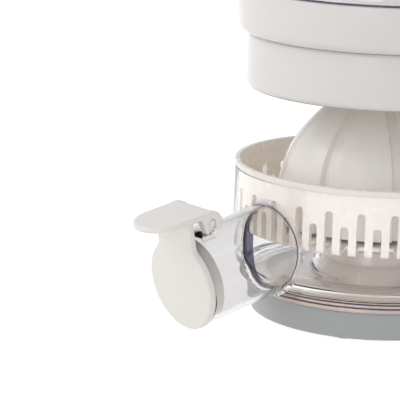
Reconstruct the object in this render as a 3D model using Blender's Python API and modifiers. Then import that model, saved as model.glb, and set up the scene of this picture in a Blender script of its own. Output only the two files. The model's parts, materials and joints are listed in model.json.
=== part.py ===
"""Countertop press juicer: thin geared base with a pale deck, clear bowl with a flapped spout, strainer, reamer,
and a press head that slides down a rear column. Metres, +Z up.
The origin is on the reamer's axis at the height of the feet; -Y is the spout, +Y the column."""

from math import acos, atan2, cos, degrees, pi, radians, sin, sqrt

import bmesh
import bpy
from mathutils import Matrix, Vector

MM = 0.001
GAP = 0.3  # between touching pieces; this and every size below is in millimetres
ROUND = 32  # facets of a full-size ring

# Base
BASE_BOTTOM, BASE_TOP = 1.2, 14.0
BASE_TOP_RADIUS, BASE_FOOT_RADIUS = 58.5, 56.0
BASE_WALL = 2.0
PLATE_BOTTOM, PLATE_TOP = 1.5, 3.3
TAIL_HALF, TAIL_BACK, TAIL_CORNER = 28.0, 112.0, 8.0
CEILING = BASE_TOP - 2.6
DECK_RADIUS, DECK_LOW, DECK_HIGH, DECK_OPENING = 57.0, 13.0, 14.3, 52.2
HUB_TOP = 33.6
RING_INNER, RING_OUTER, RING_TOP = 49.5, 51.5, 17.6
LUG_ANGLES = (30, 150, 270)
LUG_LOW, LUG_HIGH = RING_TOP - 1.4, RING_TOP - 0.2

# Column
COLUMN_HALF, COLUMN_FRONT, COLUMN_BACK, COLUMN_CORNER = 26.0, 69.5, 110.0, 6.0
COLUMN_SPLIT, COLUMN_WALL = 100.0, 2.0
COLUMN_BOTTOM, COLUMN_TOP, CAP_TOP = BASE_TOP + GAP, 165.0, 170.0
SLOT_HALF, SLOT_LOW, SLOT_HIGH = 9.5, 72.5, 151.0
ROD_X, ROD_Y, ROD_RADIUS = 12.0, 90.0, 3.0

# Gear train
MODULE = 1.5
OUTPUT_TEETH, IDLER_TEETH, PINION_TEETH = 48, 28, 12
GEAR_LOW, GEAR_HIGH = 4.2, 9.2
IDLER_Y = MODULE * (OUTPUT_TEETH + IDLER_TEETH) / 2
MOTOR_Y = IDLER_Y + MODULE * (IDLER_TEETH + PINION_TEETH) / 2
MOTOR_RADIUS, MOTOR_LOW, MOTOR_HIGH = 14.0, 17.3, 55.0

# Bowl and strainer
BOWL_RADIUS, BOWL_WALL, BOWL_RIM = 66.0, 2.0, 69.2
FLOOR_UNDER, FLOOR_TOP = 18.0, 20.2
CHIMNEY_OUTER, CHIMNEY_INNER, CHIMNEY_TOP = 7.6, 5.4, 44.0
STRAINER_RIM, STRAINER_TOP, STRAINER_BOTTOM = 65.0, 71.0, 40.5
STRAINER_WALL = 1.5
SLOT_COUNT, SLOT_WIDTH = 56, 3.7
LONG_SLOT_TOP, SHORT_SLOT_TOP = 60.4, 54.0
SLOT_PHASE = 2.9  # degrees from -Y to the nearest long slot

# Spout: its axis starts on the bowl's axis and droops towards -Y
SPOUT_HEIGHT, SPOUT_DROOP = 51.9, radians(11.8)
SPOUT_OUTER, SPOUT_INNER, SPOUT_END = 20.3, 18.3, 112.6
FLAP_RADIUS, FLAP_FRONT, FLAP_THICK = 20.8, 116.6, 3.4
PIN_ALONG, PIN_UP, PIN_RADIUS, PIN_HALF = 103.9, 27.2, 1.6, 13.0
EAR_HALF, EAR_RADIUS = 8.5, 2.5
TAB_HALF, TAB_THICK, TAB_LENGTH = 13.0, 2.8, 29.6
TAB_TILT = radians(1.0)  # upwards from the spout's own direction
CURL_RADIUS = 5.5
NECK_HALF = 11.8

# Reamer
REAMER_LOW, REAMER_TOP = 44.0, 112.5
PETALS, GROOVE_HALF, GROOVE_DEPTH = 8, radians(5.5), 2.4
GROOVE_AT = radians(15)  # one groove's direction from +X
GROOVE_FADE = 16.0  # the grooves are shallower within this radius
REAMER_WALL = 2.4
SHAFT_RADIUS, SHAFT_LOW, SHAFT_HIGH = 4.0, 3.6, 47.0
HEX_RADIUS, HEX_TOP = 5.0, 62.0

# Press head
HEAD_TRAVEL = 59.0
LOWER_RADIUS, LOWER_LOW, LOWER_HIGH = 61.8, 105.4, 130.3
UPPER_RADIUS, UPPER_LOW, UPPER_HIGH = 67.5, 130.6, 151.6
DOME_LOW, DOME_TOP, DOME_WALL = 151.9, 184.5, 2.2
CUP_FLANGE = 133.6
CARRIAGE_LOW, CARRIAGE_HIGH = 128.0, 152.0

# colour, roughness, metallic
LOOKS = {
    "white_plastic": ((0.80, 0.79, 0.76), 0.25, 0.0),
    "cream_plastic": ((0.83, 0.80, 0.76), 0.35, 0.0),
    "clear_plastic": ((0.80, 0.80, 0.82), 0.05, 0.0),
    "grey_plastic": ((0.45, 0.46, 0.46), 0.40, 0.0),
    "nylon": ((0.78, 0.77, 0.70), 0.45, 0.0),
    "silicone": ((0.80, 0.76, 0.70), 0.60, 0.0),
    "rubber": ((0.10, 0.10, 0.11), 0.80, 0.0),
    "steel": ((0.60, 0.60, 0.62), 0.30, 1.0),
    "circuit": ((0.05, 0.22, 0.10), 0.50, 0.0),
}


def clear_scene():
    for thing in list(bpy.data.objects):
        bpy.data.objects.remove(thing, do_unlink=True)


def new_collection(name, hidden=False):
    made = bpy.data.collections.new(name)
    made.hide_render = hidden
    bpy.context.scene.collection.children.link(made)
    return made


clear_scene()
PIECES = new_collection("juicer")
CUTTERS = new_collection("cutters", hidden=True)


def material(look, name):
    colour, roughness, metallic = LOOKS[look]
    made = bpy.data.materials.new(name)
    made.use_nodes = True
    shader = made.node_tree.nodes["Principled BSDF"]
    shader.inputs["Base Color"].default_value = (*colour, 1.0)
    shader.inputs["Roughness"].default_value = roughness
    shader.inputs["Metallic"].default_value = metallic
    return made


def keep(thing, look):
    """Puts a finished object among the pieces, with a material of its own."""
    for home in list(thing.users_collection):
        home.objects.unlink(thing)
    PIECES.objects.link(thing)
    thing.data.materials.clear()
    thing.data.materials.append(material(look, thing.name))
    if thing.type == "MESH":
        thing.data.shade_smooth()
        thing.data.set_sharp_from_angle(angle=radians(32))
    return thing


def as_cutter(thing):
    for home in list(thing.users_collection):
        home.objects.unlink(thing)
    CUTTERS.objects.link(thing)
    thing.hide_render = True
    thing.display_type = "WIRE"
    return thing


def object_of(name, mesh):
    thing = bpy.data.objects.new(name, mesh)
    bpy.context.scene.collection.objects.link(thing)
    return thing


def mesh_of(name, bm):
    bmesh.ops.recalc_face_normals(bm, faces=bm.faces)
    mesh = bpy.data.meshes.new(name)
    bm.to_mesh(mesh)
    bm.free()
    return mesh


def arc(centre, radius, start, end, steps):
    """Points of an arc from start to end degrees, both included."""
    turn = [radians(start + (end - start) * i / steps) for i in range(steps + 1)]
    return [(centre[0] + radius * cos(a), centre[1] + radius * sin(a)) for a in turn]


def turned(name, profile, steps=ROUND, place=None):
    """A solid turned about Z. The profile runs down its outer side, and closes by itself
    unless both ends lie on the axis."""
    mesh = bpy.data.meshes.new(name)
    points = [(r * MM, 0.0, z * MM) for r, z in profile]
    count = len(points)
    on_axis = profile[0][0] == 0 and profile[-1][0] == 0
    edges = [(i, (i + 1) % count) for i in range(count - 1 if on_axis else count)]
    mesh.from_pydata(points, edges, [])
    thing = object_of(name, mesh)
    screw = thing.modifiers.new("turn", "SCREW")
    screw.steps = screw.render_steps = steps
    screw.use_merge_vertices = True
    screw.merge_threshold = 0.00002
    screw.use_smooth_shade = True
    if place is not None:
        thing.matrix_world = place
    return thing


def baked(thing):
    """The same object with its modifiers applied, and with a curve made a welded mesh."""
    bpy.context.view_layer.update()
    graph = bpy.context.evaluated_depsgraph_get()
    mesh = bpy.data.meshes.new_from_object(thing.evaluated_get(graph))
    name = thing.name
    bm = bmesh.new()
    bm.from_mesh(mesh)
    bmesh.ops.remove_doubles(bm, verts=bm.verts, dist=1e-6)
    bm.to_mesh(mesh)
    bm.free()
    matrix = thing.matrix_world.copy()
    bpy.data.objects.remove(thing, do_unlink=True)
    solid = object_of(name, mesh)
    solid.matrix_world = matrix
    return solid


def flat(name, outlines, low, high, place=None):
    """A flat piece between two heights. The first outline is its edge, the others are holes."""
    curve = bpy.data.curves.new(name, "CURVE")
    curve.dimensions = "2D"
    curve.fill_mode = "BOTH"
    curve.extrude = (high - low) * MM / 2
    for outline in outlines:
        spline = curve.splines.new("POLY")
        spline.points.add(len(outline) - 1)
        for point, (x, y) in zip(spline.points, outline):
            point.co = (x * MM, y * MM, 0.0, 1.0)
        spline.use_cyclic_u = True
    thing = object_of(name, curve)
    middle = Matrix.Translation((0, 0, (low + high) * MM / 2))
    thing.matrix_world = middle if place is None else place @ middle
    return baked(thing)


def block(name, low, high, place=None):
    """A box between two corners."""
    bm = bmesh.new()
    bmesh.ops.create_cube(bm, size=1.0)
    size = [(b - a) * MM for a, b in zip(low, high)]
    middle = Vector([(a + b) * MM / 2 for a, b in zip(low, high)])
    bmesh.ops.scale(bm, vec=size, verts=bm.verts)
    bmesh.ops.translate(bm, vec=middle, verts=bm.verts)
    thing = object_of(name, mesh_of(name, bm))
    if place is not None:
        thing.matrix_world = place
    return thing


def rod(name, radius, start, end, steps=24):
    """A plain cylinder between two points."""
    start, end = Vector(start) * MM, Vector(end) * MM
    bm = bmesh.new()
    bmesh.ops.create_cone(
        bm, cap_ends=True, segments=steps, radius1=radius * MM, radius2=radius * MM,
        depth=(end - start).length,
    )
    thing = object_of(name, mesh_of(name, bm))
    turn = Vector((0, 0, 1)).rotation_difference(end - start).to_matrix().to_4x4()
    thing.matrix_world = Matrix.Translation((start + end) / 2) @ turn
    return thing


def boolean(target, operation, others, solver):
    for other in others:
        step = target.modifiers.new(operation.lower(), "BOOLEAN")
        step.operation = operation
        step.solver = solver
        step.object = as_cutter(other)
    return target


def cut(target, *others, solver="EXACT"):
    return boolean(target, "DIFFERENCE", others, solver)


def join(target, *others, solver="EXACT"):
    return boolean(target, "UNION", others, solver)


def round_edges(thing, width, segments=2, angle=40):
    bevel = thing.modifiers.new("round", "BEVEL")
    bevel.width = width * MM
    bevel.segments = segments
    bevel.limit_method = "ANGLE"
    bevel.angle_limit = radians(angle)
    return thing


def rounded_box_outline(half, front, back, corner, steps=4):
    inner = half - corner
    return (
        arc((inner, front + corner), corner, -90, 0, steps)
        + arc((inner, back - corner), corner, 0, 90, steps)
        + arc((-inner, back - corner), corner, 90, 180, steps)
        + arc((-inner, front + corner), corner, 180, 270, steps)
    )


def circle(x, y, radius, steps=16):
    return arc((x, y), radius, 0, 360 * (steps - 1) / steps, steps - 1)


def screw_piece(name, head_radius, shank_radius, head_height, length, place):
    """A pan-head screw: its head starts at local z = 0 and its shank runs up from it."""
    profile = [
        (0, length), (shank_radius, length - 1.0), (shank_radius, head_height),
        (head_radius, head_height), (head_radius * 0.85, 0), (0, 0),
    ]
    return keep(turned(name, profile, 10, place), "steel")


def at(x, y, z, turn=None):
    place = Matrix.Translation((x * MM, y * MM, z * MM))
    return place if turn is None else place @ turn


UPSIDE_DOWN = Matrix.Rotation(pi, 4, "X")

# The spout's frame: local Z runs along the spout, local Y is upwards across it, local X is world +X.
SPOUT_ALONG = Vector((0, -cos(SPOUT_DROOP), -sin(SPOUT_DROOP)))
SPOUT_UP = Vector((0, -sin(SPOUT_DROOP), cos(SPOUT_DROOP)))
SPOUT_SIDE = SPOUT_UP.cross(SPOUT_ALONG)
SPOUT = at(0, 0, SPOUT_HEIGHT) @ Matrix((SPOUT_SIDE, SPOUT_UP, SPOUT_ALONG)).transposed().to_4x4()

FOOT_PLACES = {
    "front_left": (-26, -39), "front_right": (26, -39), "rear_left": (-19, 92), "rear_right": (19, 92),
}
BASE_SCREW_PLACES = [(-35, -31.5), (35, -31.5), (-20, 103), (20, 103)]  # two in the deck, two in the tail
BRACKET_SCREW_X, BRACKET_SCREW_Y = 17.0, 97.0
MOTOR_SCREW_X = 8.0
REAR_SCREW_X = 17.5
REAR_SCREW_HEIGHTS = (40.0, 160.5)
CUP_SCREW_RADIUS, CUP_SCREW_ANGLES = 57.4, (30, 150, 270)
ARM_SCREW_HEIGHTS = (140.0, 147.0)


# ---------------------------------------------------------------- base

def tail_block(name, half, back, corner, low, high, inset):
    """The part of the base under the column, narrower at its foot by the inset."""
    outline = rounded_box_outline(half, 20.0, back, corner)
    thing = flat(name, [outline], low, high)
    for vertex in thing.data.vertices:
        if vertex.co.z < 0:
            x, y = vertex.co.x, vertex.co.y
            vertex.co.x = x - inset * MM * x / (half * MM)
            vertex.co.y = y - inset * MM * max(0.0, (y - 60 * MM) / ((back - 60) * MM))
    return thing


def bayonet_lugs(name, inner, outer, low, high):
    """Three short blocks around the ring, one solid each."""
    half = 7.3
    return [
        block(f"{name}_{angle}", (inner, -half, low), (outer, half, high),
              Matrix.Rotation(radians(angle), 4, "Z"))
        for angle in LUG_ANGLES
    ]


def base_bosses(places):
    """Bosses for the screws through the bottom plate, and the pilot holes in them."""
    bosses = [rod(f"boss_{x}_{y}", 3.6, (x, y, PLATE_TOP + GAP), (x, y, DECK_LOW + 0.5), 12) for x, y in places]
    pilots = [rod(f"pilot_{x}_{y}", 1.7, (x, y, 0), (x, y, 11.0), 8) for x, y in places]
    return bosses, pilots


def base_shell():
    body = turned("base_shell", [
        (0, BASE_TOP), (BASE_TOP_RADIUS - 0.3, BASE_TOP), (BASE_TOP_RADIUS, BASE_TOP - 0.6),
        (BASE_FOOT_RADIUS, BASE_BOTTOM), (0, BASE_BOTTOM),
    ])
    inset = BASE_TOP_RADIUS - BASE_FOOT_RADIUS
    join(body, tail_block("tail", TAIL_HALF, TAIL_BACK, TAIL_CORNER, BASE_BOTTOM, BASE_TOP, inset))
    cavity_radius = BASE_FOOT_RADIUS - BASE_WALL
    recess = DECK_RADIUS + GAP
    cut(
        body,
        turned("base_cavity", [(0, CEILING), (cavity_radius, CEILING), (cavity_radius, 0), (0, 0)]),
        flat("tail_cavity", [rounded_box_outline(25.2, 10.0, 107.0, 5.0)], 0, CEILING),
        turned("deck_recess", [(0, 20), (recess, 20), (recess, DECK_LOW - GAP), (0, DECK_LOW - GAP)]),
        rod("deck_opening", DECK_OPENING, (0, 0, 5), (0, 0, 20), ROUND),
    )
    bosses, pilots = base_bosses(BASE_SCREW_PLACES[2:])
    join(body, *bosses)
    bracket_holes = [rod(f"bracket_hole_{side}", 1.5, (side * BRACKET_SCREW_X, BRACKET_SCREW_Y, 8),
                         (side * BRACKET_SCREW_X, BRACKET_SCREW_Y, 20), 8) for side in (-1, 1)]
    cut(body, rod("pinion_hole", 12.0, (0, MOTOR_Y, 8), (0, MOTOR_Y, 20), 20), *pilots, *bracket_holes)
    return keep(body, "grey_plastic")


def base_deck():
    """The pale top of the base: a flat disc, the hub that the bowl fits over, and the bayonet ring."""
    deck = turned("base_deck", [
        (9.7, HUB_TOP), (18.6, HUB_TOP), (20.6, 31.4), (21.4, 25.2), (25.0, 21.0), (25.3, DECK_HIGH),
        (RING_INNER, DECK_HIGH), (RING_INNER, RING_TOP), (RING_OUTER, RING_TOP), (RING_OUTER, DECK_HIGH),
        (DECK_RADIUS, DECK_HIGH), (DECK_RADIUS, DECK_LOW), (23.5, DECK_LOW), (23.5, 20.2), (19.6, 24.6),
        (18.8, 30.8), (17.6, 31.8), (11.5, 31.8), (11.5, 9.6), (6.9, 9.6), (6.9, BASE_TOP), (9.7, BASE_TOP),
    ])
    bosses, pilots = base_bosses(BASE_SCREW_PLACES[:2])
    join(deck, *bosses, *bayonet_lugs("deck_lug", RING_INNER + 0.5, RING_OUTER + 2.0, LUG_LOW, LUG_HIGH))
    cut(deck, *pilots)
    return keep(deck, "cream_plastic")


def bottom_plate():
    radius, half, back, corner = 53.6, 24.8, 106.0, 4.5
    join_angle = degrees(acos(half / radius))
    outline = (
        arc((half - corner, back - corner), corner, 0, 90, 4)
        + arc((-half + corner, back - corner), corner, 90, 180, 4)
        + arc((0, 0), radius, 180 - join_angle, 360 + join_angle, 36)
    )
    holes = [circle(x, y, 2.2, 10) for x, y in FOOT_PLACES.values()]
    holes += [circle(x, y, 1.8, 10) for x, y in BASE_SCREW_PLACES]
    keep(flat("bottom_plate", [outline, *holes], PLATE_BOTTOM, PLATE_TOP), "grey_plastic")


def feet():
    for name, (x, y) in FOOT_PLACES.items():
        profile = [
            (0, 3.0), (1.9, 3.0), (1.9, PLATE_BOTTOM - GAP), (6.0, PLATE_BOTTOM - GAP),
            (5.6, 0), (0, 0),
        ]
        keep(turned(f"foot_{name}", profile, 12, at(x, y, 0)), "rubber")
    pad = [(0, PLATE_BOTTOM - GAP), (9.0, PLATE_BOTTOM - GAP), (8.6, 0), (0, 0)]
    keep(turned("foot_centre", pad, 16), "rubber")


def base_fasteners():
    for i, (x, y) in enumerate(BASE_SCREW_PLACES, 1):
        screw_piece(f"base_screw_{i}", 2.9, 1.35, 0.65, 9.6, at(x, y, 0.55))
    for i, side in enumerate((-1, 1), 1):
        screw_piece(f"bracket_screw_{i}", 2.3, 1.2, 1.4, 10.0,
                    at(side * BRACKET_SCREW_X, BRACKET_SCREW_Y, 18.6, UPSIDE_DOWN))
        screw_piece(f"motor_screw_{i}", 2.1, 1.2, 1.3, 7.0, at(side * MOTOR_SCREW_X, MOTOR_Y, 12.7))


def drive_bearing():
    keep(turned("output_bush", [
        (9.0, 15.8), (9.0, BASE_TOP + GAP), (6.6, BASE_TOP + GAP), (6.6, 9.8), (4.3, 9.8), (4.3, 15.8),
    ], 20), "nylon")
    keep(turned("shaft_seal", [
        (7.0, 17.2), (7.4, 16.1), (4.5, 16.1), (4.3, 17.2),
    ], 20), "rubber")
    keep(rod("idler_axle", 2.0, (0, IDLER_Y, PLATE_TOP + GAP), (0, IDLER_Y, CEILING - GAP), 14), "steel")


# ---------------------------------------------------------------- column

def column_half_outline(front):
    """A U-shaped section: the front shell's, or the rear cover's."""
    outer = rounded_box_outline(COLUMN_HALF, COLUMN_FRONT, COLUMN_BACK, COLUMN_CORNER)
    inner = rounded_box_outline(
        COLUMN_HALF - COLUMN_WALL, COLUMN_FRONT + COLUMN_WALL, COLUMN_BACK - COLUMN_WALL,
        COLUMN_CORNER - COLUMN_WALL,
    )
    count = len(outer) // 4
    wall = COLUMN_HALF, COLUMN_HALF - COLUMN_WALL
    if front:
        edge = COLUMN_SPLIT
        outside = outer[3 * count:] + outer[:count]
        inside = inner[3 * count:] + inner[:count]
        ends = [(wall[0], edge), (wall[1], edge)], [(-wall[1], edge), (-wall[0], edge)]
    else:
        edge = COLUMN_SPLIT + GAP
        outside = outer[count:3 * count]
        inside = inner[count:3 * count]
        ends = [(-wall[0], edge), (-wall[1], edge)], [(wall[1], edge), (wall[0], edge)]
    return outside + ends[0] + inside[::-1] + ends[1]


def column_front():
    shell = flat("column_front", [column_half_outline(True)], COLUMN_BOTTOM, COLUMN_TOP)
    ledges, bosses, pilots = [], [], []
    for side in (-1, 1):
        wall = side * (COLUMN_HALF - COLUMN_WALL)
        for height in (57.0, 154.8):
            inner = wall - side * 3.0
            x = sorted((wall + side * 0.5, inner))
            ledges.append(block(f"ledge_{side}_{height:.0f}", (x[0], 82, height), (x[1], 96, height + 2.7)))
        for height in REAR_SCREW_HEIGHTS:
            name = f"{side}_{height:.0f}"
            for where, reach, start, end in (("root", 0.5, 97.0, 99.8), ("end", -3.2, 99.0, 107.5)):
                x = sorted((wall + side * reach, side * 14.4))
                rise = 3.4 if where == "root" else 3.1
                bosses.append(block(f"boss_{where}_{name}", (x[0], start, height - rise),
                                    (x[1], end, height + rise)))
            pilots.append(rod(f"pilot_{name}", 1.7, (side * REAR_SCREW_X, 98.5, height),
                              (side * REAR_SCREW_X, 109, height), 12))
    join(shell, *ledges, *bosses)
    slot = block("column_slot", (-SLOT_HALF, COLUMN_FRONT - 5, SLOT_LOW), (SLOT_HALF, 75, SLOT_HIGH))
    cut(shell, slot, *pilots)
    return keep(shell, "white_plastic")


def column_rear():
    cover = flat("column_rear", [column_half_outline(False)], COLUMN_BOTTOM, COLUMN_TOP)
    holes = [rod(f"rear_hole_{side}_{height:.0f}", 1.7, (side * REAR_SCREW_X, 105, height),
                 (side * REAR_SCREW_X, 115, height), 12)
             for side in (-1, 1) for height in REAR_SCREW_HEIGHTS]
    vents = [block(f"vent_{i}", (-12, 105, 70 + 6 * i), (12, 115, 72.4 + 6 * i)) for i in range(5)]
    cut(cover, *holes, *vents, rod("inlet_hole", 4.6, (14, 105, 23), (14, 115, 23), 14))
    return keep(cover, "white_plastic")


def column_cap():
    outline = rounded_box_outline(COLUMN_HALF, COLUMN_FRONT, COLUMN_BACK, COLUMN_CORNER)
    cap = flat("column_cap", [outline, circle(0, ROD_Y, 7.5, 20)], COLUMN_TOP + GAP, CAP_TOP)
    round_edges(cap, 1.0, 1)
    return keep(cap, "white_plastic")


def column_inside():
    for side, name in ((-1, "left"), (1, "right")):
        x = side * ROD_X
        keep(rod(f"guide_rod_{name}", ROD_RADIUS, (x, ROD_Y, 57.5), (x, ROD_Y, 164.3), 16), "steel")
    for name, low in (("lower", 60.0), ("upper", 157.8)):
        half = COLUMN_HALF - COLUMN_WALL - GAP
        back = 96.6
        outline = [(half, COLUMN_FRONT + 4.5), (half, back), (-half, back), (-half, COLUMN_FRONT + 4.5)]
        holes = [circle(side * ROD_X, ROD_Y, ROD_RADIUS + GAP, 14) for side in (-1, 1)]
        keep(flat(f"rod_bracket_{name}", [outline, *holes], low, low + 3.0), "steel")
    for name, low, high, low_z, high_z in (
        ("safety_switch", (-6, 78), (6, 84), 63.3, 67.8),
        ("power_switch", (-6, 84), (6, 95.5), 161.1, 163.9),
    ):
        keep(round_edges(block(name, (*low, low_z), (*high, high_z)), 0.5, 1), "rubber")
    for i, (side, height) in enumerate(((s, h) for s in (-1, 1) for h in REAR_SCREW_HEIGHTS), 1):
        turn = Matrix.Rotation(pi / 2, 4, "X")
        screw_piece(f"rear_screw_{i}", 3.0, 1.4, 1.6, 11.0, at(side * REAR_SCREW_X, 111.9, height, turn))


def motor_unit():
    can = turned("motor", [
        (0, 57.5), (4.5, 57.5), (4.5, MOTOR_HIGH), (MOTOR_RADIUS - 1.5, MOTOR_HIGH),
        (MOTOR_RADIUS, MOTOR_HIGH - 1.5), (MOTOR_RADIUS, MOTOR_LOW), (0, MOTOR_LOW),
    ], 24, at(0, MOTOR_Y, 0))
    holes = [rod(f"motor_thread_{side}", 1.5, (side * MOTOR_SCREW_X, MOTOR_Y, 15),
                 (side * MOTOR_SCREW_X, MOTOR_Y, 21), 8) for side in (-1, 1)]
    cut(can, rod("motor_bore", 1.8, (0, MOTOR_Y, 15), (0, MOTOR_Y, 22), 10), *holes)
    keep(can, "steel")
    outline = rounded_box_outline(21.0, 73.5, 99.6, 3.0, 2)
    holes = [circle(0, MOTOR_Y, 5.0, 16)]
    holes += [circle(side * MOTOR_SCREW_X, MOTOR_Y, 1.5, 8) for side in (-1, 1)]
    holes += [circle(side * BRACKET_SCREW_X, BRACKET_SCREW_Y, 1.5, 8) for side in (-1, 1)]
    keep(flat("motor_bracket", [outline, *holes], BASE_TOP + GAP, MOTOR_LOW - GAP), "steel")


def electronics():
    board = block("control_board", (-13.6, 103.6, 30), (13.6, 105.2, 56))
    join(
        board,
        block("relay", (-12, 105.0, 34), (-4, 107.4, 46)),
        block("connector", (2, 105.0, 36), (12, 107.4, 40)),
    )
    keep(board, "circuit")
    inlet = block("power_inlet", (9.6, 99.9, 18.6), (18.4, 107.6, 27.4))
    join(inlet, rod("inlet_barrel", 4.2, (14, 107, 23), (14, 109.8, 23), 14))
    cut(inlet, rod("inlet_socket", 2.8, (14, 102, 23), (14, 112, 23), 10))
    keep(inlet, "rubber")


def power_button():
    keep(turned("power_button", [
        (0, 172.8), (5.6, 172.8), (6.9, 171.9), (6.9, 166.8), (0, 166.8),
    ], 24, at(0, ROD_Y, 0)), "grey_plastic")


# ---------------------------------------------------------------- gear train

def gear(name, teeth, y, first_tooth, bore, look):
    """Straight-sided teeth with free backlash; first_tooth is one tooth's direction in degrees."""
    pitch = MODULE * teeth / 2
    outline = []
    for i in range(teeth):
        middle = radians(first_tooth) + 2 * pi * i / teeth
        for step, half_width in ((-1.2, -0.92), (0.85, -0.36), (0.85, 0.36), (-1.2, 0.92)):
            radius = pitch + step * MODULE
            outline.append((middle + half_width * MODULE / radius, radius))
    points = [(r * cos(a), y + r * sin(a)) for a, r in outline]
    return keep(flat(name, [points, circle(0, y, bore, 14)], GEAR_LOW, GEAR_HIGH), look)


def gear_train():
    gear("output_gear", OUTPUT_TEETH, 0, 90, SHAFT_RADIUS + GAP, "nylon")
    gear("idler_gear", IDLER_TEETH, IDLER_Y, -90 + 180 / IDLER_TEETH, 2.0 + GAP, "nylon")
    gear("motor_pinion", PINION_TEETH, MOTOR_Y, -90, 1.5 + GAP, "steel")
    keep(rod("motor_spindle", 1.5, (0, MOTOR_Y, 3.9), (0, MOTOR_Y, 20.8), 12), "steel")


def drive_shaft():
    shaft = rod("drive_shaft", SHAFT_RADIUS, (0, 0, SHAFT_LOW), (0, 0, SHAFT_HIGH), 18)
    join(shaft, rod("shaft_hex", HEX_RADIUS, (0, 0, SHAFT_HIGH - 1), (0, 0, HEX_TOP), 6))
    return keep(shaft, "steel")


# ---------------------------------------------------------------- reamer

REAMER_PROFILE = [
    (6.0, 110.6), (13.0, 105.6), (20.0, 100.2), (26.5, 94.9), (31.0, 90.3), (36.5, 83.6),
    (40.2, 77.6), (43.0, 71.0), (45.5, 60.5), (47.8, REAMER_LOW),
]


def reamer():
    inside = [
        (radius - REAMER_WALL - 1.2, height - 1.2) for radius, height in reversed(REAMER_PROFILE[2:-1:2])
    ]
    profile = [(0, REAMER_TOP), *REAMER_PROFILE, (44.4, REAMER_LOW), *inside]
    profile += [(8.6, 99.0), (8.6, 46.5), (6.2, 46.5), (6.2, HEX_TOP + 1), (0, HEX_TOP + 1)]
    cone = baked(turned("reamer", profile, PETALS * 6))
    for vertex in cone.data.vertices:
        x, y, z = (value / MM for value in vertex.co)
        radius = sqrt(x * x + y * y)
        outer = z > 98 or radius > 46.0 or radius > outside_radius(z) - 0.9
        if not outer or radius < 0.1 or z < REAMER_LOW + 0.1 and radius < 46.5:
            continue
        turn = abs((atan2(y, x) - GROOVE_AT + pi / PETALS) % (2 * pi / PETALS) - pi / PETALS)
        if turn < GROOVE_HALF:
            scale = 1 - GROOVE_DEPTH * min(1.0, radius / GROOVE_FADE) / radius
            vertex.co.x *= scale
            vertex.co.y *= scale
    return keep(cone, "white_plastic")


def outside_radius(height):
    """The reamer's outer radius at a height, from its profile."""
    points = [(0.0, REAMER_TOP), *REAMER_PROFILE]
    for (r1, z1), (r2, z2) in zip(points, points[1:]):
        if z2 <= height <= z1:
            return r1 + (r2 - r1) * (z1 - height) / (z1 - z2)
    return points[-1][0]


# ---------------------------------------------------------------- bowl, strainer

def bowl():
    outside = [
        (0, BOWL_RIM), (65.6, BOWL_RIM), (BOWL_RADIUS, 30.0), (64.6, 24.0), (61.0, 20.0),
        (61.8, 19.2), (61.8, 17.0), (60.2, 14.4), (57.4, 14.4), (57.4, FLOOR_UNDER), (0, FLOOR_UNDER),
    ]
    body = turned("bowl", outside)
    tube = turned("spout_tube", [
        (0, SPOUT_END), (SPOUT_OUTER, SPOUT_END), (SPOUT_OUTER, 50), (0, 50),
    ], 28, SPOUT)
    skirt = turned("skirt", [
        (58.2, FLOOR_UNDER + 1), (58.2, 14.7), (55.2, 14.7), (55.2, FLOOR_UNDER + 1),
    ])
    ear = flat("ear", [[
        (PIN_ALONG + 3.4, 18.0), (PIN_ALONG + EAR_RADIUS, PIN_UP),
        *arc((PIN_ALONG, PIN_UP), EAR_RADIUS, 0, 180, 6)[1:-1],
        (PIN_ALONG - EAR_RADIUS, PIN_UP), (PIN_ALONG - 4.4, 18.0),
    ]], -EAR_HALF, EAR_HALF, FLAP_SIDE)
    join(body, tube, ear, skirt, solver="MANIFOLD")
    join(body, *bayonet_lugs("bowl_lug", RING_OUTER + GAP + 0.1, 56.0, 14.6, LUG_LOW - GAP),
         solver="MANIFOLD")
    cavity = turned("bowl_cavity", [
        (CHIMNEY_OUTER, 80), (BOWL_RADIUS - 2.2, 80), (BOWL_RADIUS - 2.2, 66),
        (BOWL_RADIUS - BOWL_WALL, 55), (BOWL_RADIUS - BOWL_WALL, 30), (62.6, 25.0), (59.0, 21.4),
        (54, FLOOR_TOP), (29.0, FLOOR_TOP), (28.0, 23.6), (24.6, 26.4), (23.8, 33.0), (20.6, 36.6),
        (CHIMNEY_OUTER, 37.4),
    ])
    hollow_hub = turned("hub_hollow", [
        (19.6, 34.6), (21.6, 32.0), (22.4, 25.6), (26.0, 21.6), (26.2, FLOOR_UNDER - 1),
        (CHIMNEY_OUTER + 0.6, FLOOR_UNDER - 1), (CHIMNEY_OUTER + 0.6, 34.6),
    ])
    bore = turned("spout_bore", [(0, 130), (SPOUT_INNER, 130), (SPOUT_INNER, 40), (0, 40)], 28, SPOUT)
    above = CHIMNEY_OUTER + 0.5
    chimney_top = turned("chimney_top", [(0, 80), (above, 80), (above, CHIMNEY_TOP), (0, CHIMNEY_TOP)], 20)
    pin_hole = rod("pin_hole", PIN_RADIUS + GAP, *pin_ends(EAR_HALF + 3), 12)
    chimney_bore = rod("chimney_bore", CHIMNEY_INNER, (0, 0, 10), (0, 0, 90), 20)
    cut(body, cavity, bore, chimney_top, hollow_hub, chimney_bore, pin_hole, solver="MANIFOLD")
    return keep(body, "clear_plastic")


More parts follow.
